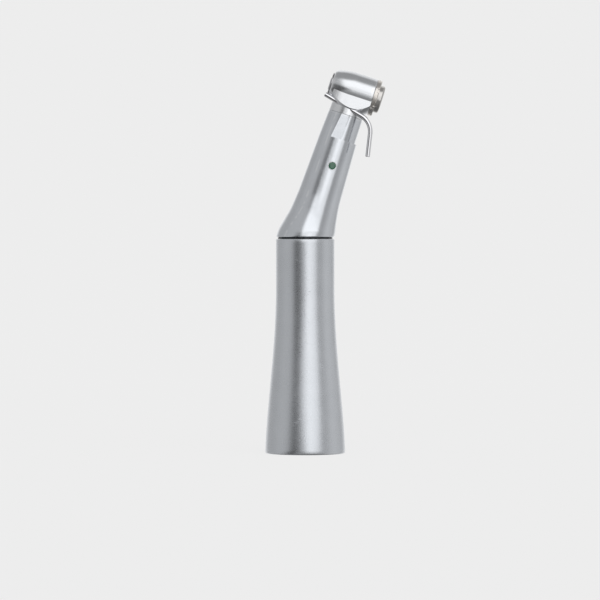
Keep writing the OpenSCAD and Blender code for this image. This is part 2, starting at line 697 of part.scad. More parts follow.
// Sleeve that slides on the spindle. Its tapered inside lets the lock balls move out when it is pushed.
module release_sleeve() color([0.6, 0.61, 0.63]) in_head() rotate_extrude() polygon([
    [spindle_r + run, sleeve_z[1]], [2.45, sleeve_z[1]], [2.45, -6.02], [3.0, -6.02], [3.0, sleeve_z[0]],
    [spindle_r + run, sleeve_z[0]], [spindle_r + run, -6.16],
    [1.9 + 0.36 * 0.88, lock_ball_z - 0.88], [1.9 - 0.36 * 0.25, lock_ball_z + 0.25],
    [spindle_r + run, lock_ball_z + 0.25]
]);

module sleeve_spring() color([0.82, 0.82, 0.84]) in_head() coil(2.72, 0.1, 4, [-6.0, -4.24]);

module lock_ball(side) in_head() translate([0, side * lock_ball_reach, lock_ball_z])
    sphere(r = lock_ball_r, $fn = 32);
module lock_ball_left() color([0.85, 0.86, 0.88]) lock_ball(1);
module lock_ball_right() color([0.85, 0.86, 0.88]) lock_ball(-1);

// ---- Nodes ----

handle_sleeve();
seam_ring();
coupling_body();
coupling_snap_ring();
gear_case();
rear_thrust_washer();
middle_thrust_washer();
output_housing();
neck_shell();
neck_bearing_nut();
head_housing();
front_ring();
head_cap();
button_seal();
irrigation_tube();
ratio_dot();
input_bearing_nut();
input_outer_races();
output_outer_races();
neck_outer_races();
spindle_outer_races();
input_shaft();
drive_dog();
dog_pin();
input_inner_races();
input_ball_sets();
stage_1_planet_a();
stage_1_planet_b();
stage_1_planet_c();
stage_1_carrier();
stage_1_pins();
stage_2_planet_a();
stage_2_planet_b();
stage_2_planet_c();
stage_2_carrier();
stage_2_pins();
output_inner_races();
output_spacer();
bend_gear_lower();
output_ball_sets();
neck_shaft();
bend_gear_upper();
head_pinion();
neck_inner_races();
neck_ball_sets();
chuck_spindle();
head_gear();
spindle_inner_races();
spindle_ball_sets();
sleeve_spring_seat();
release_sleeve();
sleeve_spring();
lock_ball_left();
lock_ball_right();
push_button();
button_spring();
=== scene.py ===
"""Satin steel reduction contra-angle handpiece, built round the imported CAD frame."""
import json
import math

import bmesh
import bpy
from mathutils import Matrix, Vector


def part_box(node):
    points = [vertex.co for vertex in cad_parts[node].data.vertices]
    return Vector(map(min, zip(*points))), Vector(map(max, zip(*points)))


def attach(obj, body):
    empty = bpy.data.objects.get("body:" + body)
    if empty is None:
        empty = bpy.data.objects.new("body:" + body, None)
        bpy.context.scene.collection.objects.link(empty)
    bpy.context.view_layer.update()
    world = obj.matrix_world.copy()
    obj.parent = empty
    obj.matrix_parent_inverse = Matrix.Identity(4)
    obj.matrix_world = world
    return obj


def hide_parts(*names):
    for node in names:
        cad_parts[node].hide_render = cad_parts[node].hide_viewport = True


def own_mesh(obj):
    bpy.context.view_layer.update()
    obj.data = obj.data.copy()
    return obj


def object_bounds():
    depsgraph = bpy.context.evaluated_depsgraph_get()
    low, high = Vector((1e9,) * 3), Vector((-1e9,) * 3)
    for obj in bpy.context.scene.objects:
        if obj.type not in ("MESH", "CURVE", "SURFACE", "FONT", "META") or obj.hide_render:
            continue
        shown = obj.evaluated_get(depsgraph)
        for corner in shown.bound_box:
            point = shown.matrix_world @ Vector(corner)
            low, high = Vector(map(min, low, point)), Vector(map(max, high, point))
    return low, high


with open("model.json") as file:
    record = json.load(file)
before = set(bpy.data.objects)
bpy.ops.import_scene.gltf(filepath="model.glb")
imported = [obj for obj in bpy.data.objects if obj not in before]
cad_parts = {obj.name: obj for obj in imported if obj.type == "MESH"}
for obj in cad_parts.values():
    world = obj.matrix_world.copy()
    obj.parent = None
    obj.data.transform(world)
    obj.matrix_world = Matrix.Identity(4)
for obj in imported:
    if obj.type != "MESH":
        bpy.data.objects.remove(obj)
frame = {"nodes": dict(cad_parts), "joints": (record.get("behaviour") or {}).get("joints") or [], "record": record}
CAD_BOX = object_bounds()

MM = 0.001
NODES = frame["nodes"]
JOINTS = {j["name"]: j for j in frame["joints"]}


# ---------------------------------------------------------------- frames
def frame_at(origin, axis, side):
    """Matrix from millimetres to metres. Its Z is axis, and its X is the part of side square to that."""
    z = Vector(axis).normalized()
    x = (Vector(side) - z * z.dot(Vector(side))).normalized()
    y = z.cross(x)
    turn = Matrix((x, y, z)).transposed().to_4x4()
    return Matrix.Translation(Vector(origin)) @ turn @ Matrix.Scale(MM, 4)


NECK_JOINT = JOINTS["neck_shaft_spin"]
SPIN = JOINTS["spindle_spin"]
BEND = Vector(NECK_JOINT["pos_m"])
HEAD = Vector(SPIN["pos_m"])
NECK_AXIS = Vector(NECK_JOINT["axis"])
BUR_AXIS = Vector(SPIN["axis"])
HANDLE_FRAME = Matrix.Scale(MM, 4)
NECK_FRAME = frame_at(BEND, NECK_AXIS, (1, 0, 0))
HEAD_FRAME = frame_at(HEAD, BUR_AXIS, NECK_AXIS)      # X along the neck, Z out of the head
REACH = (HEAD - BEND).length / MM
TILT = math.degrees(math.acos(NECK_AXIS.z))

SEAM_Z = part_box("handle_sleeve")[1].z / MM
NECK_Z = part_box("neck_shell")[0].z / MM
REAR_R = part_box("handle_sleeve")[1].x / MM
SEAM_R = 7.4                                          # radius where the handle meets the neck


# ---------------------------------------------------------------- mesh helpers
def link(name, bm, sharp=32.0):
    """A new piece from a bmesh, smooth apart from edges over the sharp angle."""
    bmesh.ops.recalc_face_normals(bm, faces=bm.faces)
    mesh = bpy.data.meshes.new(name)
    bm.to_mesh(mesh)
    bm.free()
    mesh.shade_smooth()
    mesh.set_sharp_from_angle(angle=math.radians(sharp))
    piece = bpy.data.objects.new(name, mesh)
    bpy.context.scene.collection.objects.link(piece)
    return piece


def rounded(points, radii, steps):
    """Rounds the corners of a closed profile. radii is a dict from corner index to radius."""
    out = []
    count = len(points)
    for i, p in enumerate(points):
        want = radii.get(i, 0)
        if want <= 0:
            out.append(p)
            continue
        here = Vector(p)
        back = Vector(points[i - 1]) - here
        ahead = Vector(points[(i + 1) % count]) - here
        turn = back.angle(ahead)
        if turn > math.radians(176) or turn < 1e-3:
            out.append(p)
            continue
        reach = min(want / math.tan(turn / 2), 0.45 * back.length, 0.45 * ahead.length)
        arc_r = reach * math.tan(turn / 2)
        bisector = (back.normalized() + ahead.normalized()).normalized()
        centre = here + bisector * (arc_r / math.sin(turn / 2))
        start = here + back.normalized() * reach - centre
        end = here + ahead.normalized() * reach - centre
        sweep = start.angle_signed(end)
        for k in range(steps + 1):
            a = -sweep * k / steps
            x = start.x * math.cos(a) - start.y * math.sin(a)
            y = start.x * math.sin(a) + start.y * math.cos(a)
            out.append((centre.x + x, centre.y + y))
    return out


def wrap(bm, rings, segments):
    """Faces from each ring to the next, and from the last to the first. A ring of one point is a pole."""
    for i, low in enumerate(rings):
        high = rings[(i + 1) % len(rings)]
        if len(low) == 1 and len(high) == 1:
            continue
        for k in range(segments):
            j = (k + 1) % segments
            if len(low) == 1:
                bm.faces.new((low[0], high[j], high[k]))
            elif len(high) == 1:
                bm.faces.new((low[k], low[j], high[0]))
            else:
                bm.faces.new((low[k], low[j], high[j], high[k]))


def revolve(name, profile, matrix, segments, warp=None):
    """Turns a closed (radius, height) profile into a solid. Points on the axis become poles."""
    bm = bmesh.new()
    rings = []
    for r, z in profile:
        if r < 1e-6:
            rings.append([bm.verts.new(matrix @ Vector((0, 0, z)))])
            continue
        ring = []
        for k in range(segments):
            a = 2 * math.pi * k / segments
            rr, zz = warp(r, z, a) if warp else (r, z)
            ring.append(bm.verts.new(matrix @ Vector((rr * math.cos(a), rr * math.sin(a), zz))))
        rings.append(ring)
    wrap(bm, rings, segments)
    return link(name, bm)


def loft(name, rings, capped=True):
    """Joins rings of equally many points, in order. The ends are capped, or else joined to each other."""
    bm = bmesh.new()
    made = [[bm.verts.new(p) for p in ring] for ring in rings]
    count = len(made[0])
    for low, high in zip(made, made[1:]):
        for k in range(count):
            j = (k + 1) % count
            bm.faces.new((low[k], low[j], high[j], high[k]))
    if capped:
        bm.faces.new(made[0][::-1])
        bm.faces.new(made[-1])
    else:
        for k in range(count):
            j = (k + 1) % count
            bm.faces.new((made[-1][k], made[-1][j], made[0][j], made[0][k]))
    return link(name, bm)


def pipe_rings(path, outer, inner, sides=28, lip=0.07):
    """Rings for a hollow pipe along a path in the XZ plane: out along the outside, back inside."""
    normal = Vector((0, 1, 0))
    frames = []
    for i, p in enumerate(path):
        ahead = path[min(i + 1, len(path) - 1)] - path[max(i - 1, 0)]
        frames.append((p, ahead.normalized()))

    def ring(p, t, r):
        u = t.cross(normal).normalized()
        return [p + (u * math.cos(a) + normal * math.sin(a)) * r
                for a in (2 * math.pi * k / sides for k in range(sides))]

    def run(r, sign):
        """One wall, with its two ends broken by a small lip."""
        (first, start), (last, finish) = frames[0], frames[-1]
        rings = [ring(first, start, r - sign * lip), ring(first + start * lip, start, r)]
        rings += [ring(p, t, r) for p, t in frames[1:-1]]
        return rings + [ring(last - finish * lip, finish, r), ring(last, finish, r - sign * lip)]

    return run(outer, 1) + run(inner, -1)[::-1]


def modifier(piece, kind, **settings):
    """Adds a modifier with the settings given."""
    added = piece.modifiers.new(kind.title(), kind)
    for key, value in settings.items():
        setattr(added, key, value)


def bake(piece):
    """Replaces a piece's mesh by the result of its modifiers."""
    graph = bpy.context.evaluated_depsgraph_get()
    mesh = bpy.data.meshes.new_from_object(piece.evaluated_get(graph))
    piece.modifiers.clear()
    piece.data = mesh


def soften(piece, width, angle, segments):
    """Bevels the edges over the angle."""
    modifier(piece, "BEVEL", width=width * MM, segments=segments, limit_method="ANGLE",
             angle_limit=math.radians(angle), harden_normals=True, miter_outer="MITER_ARC")


def carve(target, others, operation):
    """Boolean of target with each of others, which are used up."""
    for other in others:
        modifier(target, "BOOLEAN", operation=operation, solver="EXACT", object=other)
        bake(target)
        bpy.data.objects.remove(other)


def dress(piece, body, material, slot, *nodes):
    """Gives a piece its material, its body and the CAD nodes that it stands in for."""
    piece.data.materials.clear()
    piece.data.materials.append(material)
    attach(piece, body)
    if nodes:
        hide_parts(*nodes)


# ---------------------------------------------------------------- materials
class Nodes:
    """Small helper that adds and joins shader nodes."""

    def __init__(self, name):
        self.material = bpy.data.materials.new(name)
        self.material.use_nodes = True
        self.tree = self.material.node_tree
        self.tree.nodes.clear()
        self.out = self.tree.nodes.new("ShaderNodeOutputMaterial")

    def add(self, kind, **inputs):
        node = self.tree.nodes.new("ShaderNode" + kind)
        for key, value in inputs.items():
            if hasattr(node, key) and key not in node.inputs:
                setattr(node, key, value)
                continue
            by_number = key[0] == "i" and key[1:].isdigit()
            socket = node.inputs[int(key[1:])] if by_number else node.inputs[key]
            if isinstance(value, bpy.types.NodeSocket):
                self.tree.links.new(value, socket)
            else:
                socket.default_value = value
        return node

    def join(self, a, b):
        self.tree.links.new(a, b)

    def maths(self, operation, a, b=0.0):
        return self.add("Math", operation=operation, i0=a, i1=b).outputs[0]

    def range(self, value, low, high, to_low, to_high):
        node = self.add("MapRange")
        self.join(value, node.inputs["Value"])
        for key, v in (("From Min", low), ("From Max", high), ("To Min", to_low), ("To Max", to_high)):
            node.inputs[key].default_value = v
        return node.outputs["Result"]

    def noise(self, vector, scale, detail, rough):
        node = self.add("TexNoise", Vector=vector, Scale=scale, Detail=detail, Roughness=rough)
        return node.outputs["Fac"]

    def colour_mix(self, amount, a, b):
        """Colour a where amount is 0, b where it is 1."""
        node = self.add("Mix", data_type="RGBA")
        self.join(amount, node.inputs[0])
        for socket, value in ((node.inputs[6], a), (node.inputs[7], b)):
            if isinstance(value, bpy.types.NodeSocket):
                self.join(value, socket)
            else:
                socket.default_value = (*value, 1)
        return node.outputs[2]

    def stretched(self, vector, scale):
        return self.add("Mapping", Vector=vector, Scale=scale).outputs["Vector"]


def metal(name, colour, roughness, grain=9000.0, grain_depth=0.0004, brushed=None, wear=0.25,
          tint=(1, 1, 1)):
    """Metal with blasted grain or brushed lines, cloudy roughness, fine scratches and brighter edges."""
    n = Nodes(name)
    place = n.add("TexCoord").outputs["Object"]
    cloud = n.noise(place, 260.0, 4.0, 0.6)
    speck = n.noise(place, grain, 2.0, 0.6)
    scratch_place = n.stretched(place, (900.0, 900.0, 14000.0))
    scratch = n.range(n.noise(scratch_place, 1.0, 2.0, 0.5), 0.64, 0.70, 0.0, 1.0)
    sparse = n.range(n.noise(place, 420.0, 1.0, 0.4), 0.56, 0.68, 0.0, 1.0)
    scratch = n.maths("MULTIPLY", scratch, sparse)
    edge = n.range(n.add("NewGeometry").outputs["Pointiness"], 0.52, 0.58, 0.0, wear)
    dark = [c * 0.97 for c in colour]
    light = [min(1, c * t * 1.02) for c, t in zip(colour, tint)]
    mixed = n.colour_mix(n.range(cloud, 0.3, 0.7, 0.0, 1.0), dark, light)
    worn = n.colour_mix(edge, mixed, (0.86, 0.86, 0.87))
    rough = n.range(cloud, 0.25, 0.75, roughness * 0.95, roughness * 1.05)
    rough = n.maths("ADD", rough, n.range(speck, 0.3, 0.7, -0.03, 0.03))
    rough = n.maths("SUBTRACT", rough, n.maths("MULTIPLY", edge, roughness * 0.5))
    rough = n.maths("SUBTRACT", rough, n.maths("MULTIPLY", scratch, roughness * 0.25))
    height = n.maths("MULTIPLY", speck, grain_depth)
    if brushed:
        line_place = n.stretched(place, brushed)
        lines = n.noise(line_place, 1.0, 3.0, 0.6)
        height = n.maths("ADD", height, n.maths("MULTIPLY", lines, 0.0012))
    height = n.maths("SUBTRACT", height, n.maths("MULTIPLY", scratch, 0.0006))
    bump = n.add("Bump", Strength=1.0, Distance=0.01)
    n.join(height, bump.inputs["Height"])
    shader = n.add("BsdfPrincipled", Metallic=1.0)
    n.join(worn, shader.inputs["Base Color"])
    n.join(rough, shader.inputs["Roughness"])
    n.join(bump.outputs["Normal"], shader.inputs["Normal"])
    n.join(shader.outputs[0], n.out.inputs["Surface"])
    return n.material


def coated(name, colour, roughness, coat=0.0):
    """Rubber or enamel: uneven colour, fine grain and an optional clear coat."""
    n = Nodes(name)
    place = n.add("TexCoord").outputs["Object"]
    cloud = n.noise(place, 700.0, 4.0, 0.6)
    speck = n.noise(place, 3000.0, 3.0, 0.6)
    mixed = n.colour_mix(cloud, [c * 0.75 for c in colour], [min(1, c * 1.3) for c in colour])
    bump = n.add("Bump", Strength=1.0, Distance=0.01)
    n.join(n.maths("MULTIPLY", speck, 0.0006), bump.inputs["Height"])
    shader = n.add("BsdfPrincipled")
    shader.inputs["Coat Weight"].default_value = coat
    shader.inputs["Coat Roughness"].default_value = 0.06
    n.join(mixed, shader.inputs["Base Color"])
    n.join(n.range(cloud, 0.2, 0.8, roughness * 0.85, roughness * 1.15), shader.inputs["Roughness"])
    n.join(bump.outputs["Normal"], shader.inputs["Normal"])
    n.join(shader.outputs[0], n.out.inputs["Surface"])
    return n.material


SATIN = metal("satin_blasted_steel", (0.600, 0.622, 0.655), 0.29, grain=4200.0, grain_depth=0.0011)
NECK_METAL = metal("neck_satin_steel", (0.600, 0.622, 0.655), 0.17, grain=4200.0, grain_depth=0.0009)
HEAD_METAL = metal("head_fine_satin", (0.635, 0.65, 0.672), 0.18, grain_depth=0.0005)
POLISHED = metal("polished_steel", (0.74, 0.74, 0.76), 0.09, grain_depth=0.00015, wear=0.1)
# painted reflection: the cap's warm tint stands in for warm surroundings mirrored in its turned steel
CAP_PAINTED_WARM_REFLECTION = metal("cap_turned_painted_warm_reflection", (0.60, 0.58, 0.56), 0.22, grain_depth=0.0002, tint=(1.0, 0.97, 0.93))
# painted reflection: the button's darker, warm base colour stands in for dark and warm surroundings mirrored in
# its polished face
BUTTON_PAINTED_REFLECTION = metal("button_polished_painted_reflection", (0.52, 0.505, 0.49), 0.12, grain_depth=0.00015, wear=0.1)
# painted dark reflection: the front ring's low base colour stands in for dark surroundings mirrored in its turned
# steel
RING_PAINTED_DARK_REFLECTION = metal("steel_painted_dark_reflection", (0.34, 0.34, 0.35), 0.14, grain_depth=0.0002, wear=0.1)
TURNED = metal("turned_steel", (0.58, 0.59, 0.61), 0.22, brushed=(2000.0, 2000.0, 26000.0))
GROUND = metal("ground_shaft_steel", (0.52, 0.53, 0.56), 0.16, brushed=(1500.0, 1500.0, 20000.0))
BEARING = metal("bearing_steel", (0.72, 0.72, 0.74), 0.07, grain_depth=0.0001)
GEAR = metal("gear_steel", (0.62, 0.58, 0.50), 0.24, tint=(1.0, 0.95, 0.84))
SPRING = metal("spring_wire", (0.60, 0.60, 0.62), 0.18)
BRONZE = metal("bronze_washer", (0.62, 0.42, 0.20), 0.26, tint=(1.0, 0.9, 0.75))
SEAL = coated("black_seal", (0.012, 0.012, 0.014), 0.5)
ENAMEL = coated("green_enamel", (0.004, 0.085, 0.040), 0.22, coat=1.0)

SLOT_METAL = {
    "satin_shell": SATIN, "turned_steel": TURNED, "polished_steel": POLISHED, "dark_seal": SEAL,
    "green_enamel": ENAMEL, "spring_steel": SPRING, "bronze": BRONZE, "bearing_steel": BEARING,
    "shaft_steel": GROUND, "gear_steel": GEAR,
}
for part in frame["record"]["subparts"]:
    slots, chosen = NODES[part["node"]].data.materials, SLOT_METAL[part["material_slot"]]
    if not len(slots):
        slots.append(chosen)
    for k in range(len(slots)):
        slots[k] = chosen


# ---------------------------------------------------------------- handle
FLARE = 42.0                                          # length over which the handle narrows
FLARE_POWER = 0.85


def handle_r(z):
    """Outside radius of the handle at a height above its rear end."""
    t = min(1.0, max(0.0, z) / FLARE) ** FLARE_POWER
    return REAR_R - (REAR_R - SEAM_R) * (3 * t * t - 2 * t ** 3)


def make_handle():
    """Flared sleeve with rounded ends, hollow inside."""
    steps, low, span = 64, 0.38, SEAM_Z - 0.7
    rim = [(9.0, 0.12), (9.12, 0.0), (REAR_R - 0.42, 0.0), (REAR_R - 0.2, 0.05), (REAR_R - 0.07, 0.17)]
    wall = [(handle_r(low + span * k / steps), low + span * k / steps) for k in range(steps + 1)]
    top = [(SEAM_R - 0.03, SEAM_Z - 0.22), (SEAM_R - 0.13, SEAM_Z - 0.08), (SEAM_R - 0.3, SEAM_Z),
           (6.4, SEAM_Z)]
    inside = [(6.35, SEAM_Z - 0.05), (6.35, 50), (6.55, 49.8), (6.55, 24.2), (7.3, 23.4), (7.3, 8.8),
              (9.0, 8.8)]
    piece = revolve("handle_skin", rim + wall + top + inside, HANDLE_FRAME, 192)
    dress(piece, "housing", SATIN, "satin_shell", "handle_sleeve")


def make_seam_ring():
    """Dark ring between handle and neck, slightly crowned."""
    middle = (SEAM_Z + NECK_Z) / 2
    half = (NECK_Z - SEAM_Z) / 2 - 0.012
    inner_r, outer_r = 5.96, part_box("seam_ring")[1].x / MM
    profile = [(inner_r, middle - half), (outer_r - 0.1, middle - half), (outer_r, middle - half * 0.5),
               (outer_r + 0.03, middle), (outer_r, middle + half * 0.5), (outer_r - 0.1, middle + half),
               (inner_r, middle + half)]
    dress(revolve("seam_ring_skin", profile, HANDLE_FRAME, 128), "housing", SEAL, "dark_seal", "seam_ring")


# ---------------------------------------------------------------- neck
CONE_S, CONE_R = 12.0, 5.5                            # where the bend ends and the slim cone begins
WAIST_R, TIP_R = 4.9, 4.5                             # neck radius at the two ends of the relief
ROOT_R = 7.385                                        # neck radius at the seam
RELIEF_R = 4.43                                       # radius inside the relief
RELIEF_LOW, RELIEF_HIGH = REACH - 12.75, REACH - 6.4
RELIEF_EDGE = -1.95                                   # across the neck, where the relief begins
RELIEF_SLOPE = math.tan(math.radians(7.9))
# the relief's flat: its edge, distance from the axis there, turn towards +X, drop per millimetre of neck
FACET_EDGE, FACET_Y, FACET_TURN, FACET_DROP = 1.10, 4.29, 0.035, 0.012


def neck_r(s):
    """Radius of the neck, s millimetres along it from the bend."""
    if s < CONE_S:
        return CONE_R + 0.08 * (CONE_S - s)
    if s <= RELIEF_LOW:
        return CONE_R + (WAIST_R - CONE_R) * (s - CONE_S) / (RELIEF_LOW - CONE_S)
    return WAIST_R + (TIP_R - WAIST_R) * (s - RELIEF_LOW) / (RELIEF_HIGH - RELIEF_LOW)


def s_of_z(z):
    """Distance along the neck of a point of its axis at height z."""
    return (z - BEND.z / MM) / math.cos(math.radians(TILT))


# stations of the bend: x, z, tilt, radius
BEND_KEYS = [
    (0.02, 54.95, 0.3, 7.385), (0.39, 56.16, 3.5, 7.25), (0.71, 57.03, 6.35, 7.0),
    (1.13, 58.0, 9.45, 6.70), (1.56, 59.03, 12.4, 6.42), (1.97, 60.05, 14.6, 6.17),
    (2.38, 61.2, 16.4, 5.967), (2.76, 62.43, 17.5, 5.808), (3.13, 63.63, 18.0, 5.665),
]


def spline(keys, t):
    """Catmull-Rom through keys at t from 0 to len(keys) - 1."""
    i = min(int(t), len(keys) - 2)
    f = t - i
    p = [keys[max(0, min(len(keys) - 1, i + d))] for d in (-1, 0, 1, 2)]
    return tuple(0.5 * (2 * b + (c - a) * f + (2 * a - 5 * b + 4 * c - d) * f * f
                        + (3 * b - a - 3 * c + d) * f ** 3) for a, b, c, d in zip(*p))


def neck_stations():
    """Rows of centre x and z, tilt, outer radius, relief radius or None, and where the relief begins."""
    rows = [(0.0, NECK_Z + rise, 0.0, ROOT_R - cut, None, RELIEF_EDGE)
            for rise, cut in ((0.0, 0.32), (0.05, 0.14), (0.14, 0.03))]
    neck_x, neck_z = math.sin(math.radians(TILT)), math.cos(math.radians(TILT))
    base = BEND.z / MM
    keys = BEND_KEYS + [(s * neck_x, base + s * neck_z, TILT, neck_r(s)) for s in (11.5, 13.0, 15.5, 18.0)]
    bend_steps = 56
    for k in range(bend_steps + 1):
        rows.append((*spline(keys, (len(keys) - 2) * k / bend_steps), None, RELIEF_EDGE))

    def at(s, relief):
        edge = RELIEF_EDGE + (s - RELIEF_LOW) * RELIEF_SLOPE if s > RELIEF_LOW else RELIEF_EDGE
        rows.append((s * neck_x, base + s * neck_z, TILT, neck_r(s), RELIEF_R if relief else None, edge))

    s, stride, relief_steps = 15.5, 0.6, 12
    while s < RELIEF_LOW - stride:
        s += stride
        at(min(s, RELIEF_LOW - 0.05), False)
    at(RELIEF_LOW, False)
    at(RELIEF_LOW, True)
    for k in range(1, relief_steps + 1):
        at(RELIEF_LOW + (RELIEF_HIGH - RELIEF_LOW) * k / relief_steps, True)
    return rows


def neck_outline(z, r, relief, edge, arc_points=120, relief_points=72):
    """Section of the neck: the round side first, then the side that holds the relief."""
    cut = relief or r
    outer_edge = math.acos(max(-1, min(1, edge / r)))
    inner_edge = math.acos(max(-1, min(1, edge / cut)))
    outline = []
    for k in range(arc_points + 1):
        a = outer_edge + (2 * math.pi - 2 * outer_edge) * k / arc_points
        outline.append((r * math.cos(a), r * math.sin(a)))
    squeeze = 1.0 if relief else 0.9995
    for k in range(relief_points + 1):
        a = -inner_edge + 2 * inner_edge * k / relief_points
        p, q = cut * math.cos(a) * squeeze, cut * math.sin(a) * squeeze
        if relief and p < FACET_EDGE:
            flat = FACET_Y + (FACET_EDGE - p) * FACET_TURN - FACET_DROP * (s_of_z(z) - RELIEF_LOW)
            q = math.copysign(flat, q)
        outline.append((p, q))
    return outline


def make_neck():
    """Thin shell from the seam through the bend to the head, with the relief cut into its rear side."""
    outer, inner = [], []
    for x, z, tilt, r, relief, edge in neck_stations():
        turn = Matrix.Rotation(math.radians(tilt), 4, "Y")
        centre = Vector((x, 0, z))
        ring = [(centre + turn @ Vector((p, q, 0))) * MM for p, q in neck_outline(z, r, relief, edge)]
        outer.append(ring)
        wall = (0.55 if z < 64 else 0.62) * MM
        middle = centre * MM
        inner.append([middle + (p - middle) * (1 - wall / (p - middle).length) for p in ring])
    piece = loft("neck_skin", outer + inner[::-1], capped=False)
    bm = bmesh.new()
    bm.from_mesh(piece.data)
    bmesh.ops.remove_doubles(bm, verts=bm.verts, dist=1e-7)
    bmesh.ops.dissolve_degenerate(bm, edges=bm.edges, dist=1e-7)
    bm.to_mesh(piece.data)
    bm.free()
    piece.data.set_sharp_from_angle(angle=math.radians(32))
    dress(piece, "housing", NECK_METAL, "satin_shell", "neck_shell")


def neck_patch(name, profile, centre_s, turn_deg, segments=64):
    """A small round boss or inlay that follows the neck's surface. profile is (radius, height above it)."""
    bm = bmesh.new()
    around = math.radians(turn_deg)
    rings = []
    for r, h in profile:
        ring = []
        for k in range(segments if r > 1e-6 else 1):
            a = 2 * math.pi * k / segments
            along, across = r * math.sin(a), r * math.cos(a)
            s = centre_s + along
            radius = neck_r(s) + h
            theta = around + across / neck_r(s)
            place = Vector((radius * math.cos(theta), radius * math.sin(theta), s))
            ring.append(bm.verts.new(NECK_FRAME @ place))
        rings.append(ring)
    wrap(bm, rings, segments)
    return link(name, bm, 40)


def make_dot():
    """Green enamel dot in a thin polished rim."""
    s, turn = REACH - 19.7, -82.2
    enamel = [(0, -0.3), (0.93, -0.3), (0.95, -0.02), (0.90, 0.03), (0.75, 0.065), (0.5, 0.085),
              (0.25, 0.095), (0, 0.1)]
    dress(neck_patch("ratio_dot_enamel", enamel, s, turn), "housing", ENAMEL, "green_enamel", "ratio_dot")
    rim = [(0.96, -0.2), (0.96, 0.0), (0.99, 0.035), (1.04, 0.045), (1.09, 0.03), (1.12, -0.01), (1.12, -0.2)]
    dress(neck_patch("ratio_dot_rim", rim, s, turn), "housing", POLISHED, "polished_steel")


# ---------------------------------------------------------------- head
BARREL_R = 4.75
CAP_START = -5.1                                      # along the bur axis, where the cap meets the head
NOSE_START, NOSE_LENGTH, NOSE_POWER = 0.6, 4.8, 1.9   # the barrel rounds in over its bur end
FLAT_Y = 4.555                                        # half the head's width over its two side flats
FLAT_SLOPE = 0.085                                    # how much the flats spread towards the neck


def make_head():
    """Barrel with a rounded nose, on a base with two side flats and a collar that fits the neck."""
    nose_steps = 14
    nose = [(BARREL_R - 0.9 * (k / nose_steps) ** NOSE_POWER, NOSE_START + NOSE_LENGTH * k / nose_steps)
            for k in range(nose_steps + 1)]
    barrel = [(0, CAP_START), (BARREL_R - 0.15, CAP_START), (BARREL_R - 0.04, CAP_START + 0.04),
              (BARREL_R, CAP_START + 0.16)]
    barrel += [(BARREL_R, CAP_START + 0.3 + 5.2 * k / 6) for k in range(7)]
    barrel += nose + [(3.78, 5.56), (3.64, 5.70), (3.46, 5.78), (3.30, 5.80), (3.22, 5.72), (3.2, 5.5),
                      (0, 5.5)]
    body = revolve("head_skin", barrel, HEAD_FRAME, 160)
    ball_r, ball_x, ball_w = 7.35, 1.1, -0.6
    ball = [(ball_r * math.sin(math.pi * k / 72), -ball_r * math.cos(math.pi * k / 72)) for k in range(73)]
    ball[0], ball[-1] = (0, -ball_r), (0, ball_r)
    base = revolve("base", ball, HEAD_FRAME @ Matrix.Translation((ball_x, 0, ball_w))
                   @ Matrix.Rotation(math.radians(90), 4, "Y"), 128)
    carve(base, [flared_slab("slab", -6.25, -0.9, CAP_START + 0.005, 4.9)], "INTERSECT")
    top = REACH - 2.0
    stub = revolve("stub", [(0, RELIEF_HIGH + 0.02), (4.42, RELIEF_HIGH + 0.02), (4.5, RELIEF_HIGH + 0.1),
                            (4.32, top), (0, top)], NECK_FRAME, 160)
    carve(body, [base, stub], "UNION")
    hollow = revolve("hollow", [(0, -6), (4.42, -6), (4.42, -3.98), (4.1, -3.98), (4.1, 2.9), (3.4, 2.9),
                                (3.4, 5.03), (3.0, 5.03), (3.0, 7), (0, 7)], HEAD_FRAME, 128)
    step = REACH - 6.75
    passage = revolve("passage", [(0, REACH - 12), (3.0, REACH - 12), (3.0, step), (2.8, step),
                                  (2.8, REACH), (0, REACH)], NECK_FRAME, 96)
    carve(body, [hollow, passage], "DIFFERENCE")
    body.data.set_sharp_from_angle(angle=math.radians(11))
    soften(body, 0.09, 17, 3)
    dress(body, "housing", HEAD_METAL, "satin_shell", "head_housing")


def flared_slab(name, low, high, start, end):
    """Block between the base's two side flats. They spread towards the neck and round in with the nose."""
    stations = [start, NOSE_START] + [NOSE_START + (end - NOSE_START) * k / 8 for k in range(1, 9)]
    rings = []
    for w in stations:
        tuck = 0.8 * (max(0, w - NOSE_START) / NOSE_LENGTH) ** NOSE_POWER
        wide, slim = (FLAT_Y + (-1.3 - x) * FLAT_SLOPE - tuck for x in (low, high))
        corners = ((low, -wide, w), (high, -slim, w), (high, slim, w), (low, wide, w))
        rings.append([HEAD_FRAME @ Vector(p) for p in corners])
    return loft(name, rings)


def make_cap():
    """Screwed cap with a hole for the button and eight spanner notches in its outer edge."""
    end, r = -6.25, 4.7
    profile = rounded([
        (3.4, -2.85), (4.08, -2.85), (4.08, -4.0), (4.4, -4.0), (4.4, CAP_START - 0.02),
        (r - 0.06, CAP_START - 0.02), (r, CAP_START - 0.1), (r, -5.68), (r, end + 0.2), (r - 0.16, end),
        (3.62, end), (3.62, -5.75), (4.1, -5.75), (4.1, -4.05), (3.4, -4.05),
    ], {5: 0.05, 6: 0.05, 8: 0.12, 9: 0.12, 10: 0.05}, 4)
    notch_start, notch_r, half_width = -5.7, 4.54, math.radians(5.4)
    notch_turns = [math.radians(22.5 + 45 * k) for k in range(8)]

    def notch(r, z, a):
        if r < 4.3 or z > notch_start:
            return r, z
        nearest = min(abs((a - turn + math.pi) % (2 * math.pi) - math.pi) for turn in notch_turns)
        return (min(r, notch_r), z) if nearest < half_width else (r, z)

    piece = revolve("head_cap_skin", profile, HEAD_FRAME, 288, warp=notch)
    # the cap's warm tint is painted reflection
    dress(piece, "housing", CAP_PAINTED_WARM_REFLECTION, "polished_steel", "head_cap")


